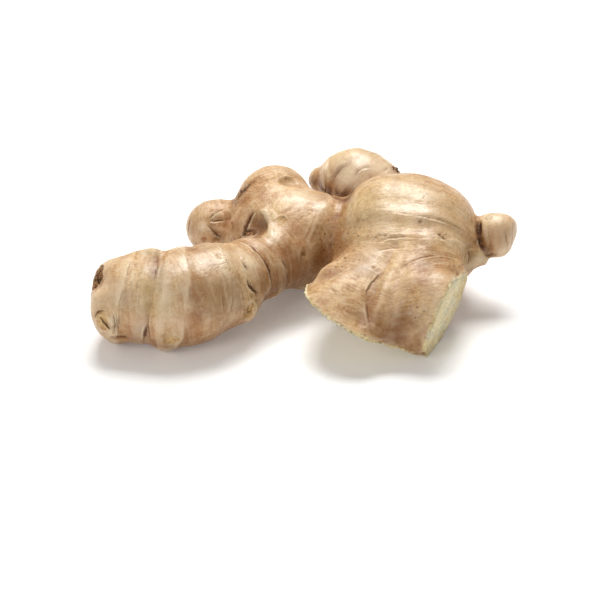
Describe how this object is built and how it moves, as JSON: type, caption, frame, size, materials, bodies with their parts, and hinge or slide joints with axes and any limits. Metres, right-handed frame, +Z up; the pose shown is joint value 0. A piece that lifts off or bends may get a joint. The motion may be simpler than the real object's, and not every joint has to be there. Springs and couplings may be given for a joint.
{
  "type": "ginger root",
  "caption": "Fresh ginger root: one knobbly hand with six short fingers, growth rings, buds and scars, and a front finger cut off with a knife.",
  "frame": {"origin": "on the table, below the middle of the bounding box", "axes": "+Z up from the table, +X along the hand from the left finger to the round knob, -Y towards the cut finger"},
  "size_m": [0.1595, 0.1109, 0.0477],
  "materials": {
    "ginger_skin": "satin"
  },
  "bodies": {
    "root": {"ginger_rhizome": "ginger_skin"}
  },
  "joints": []
}
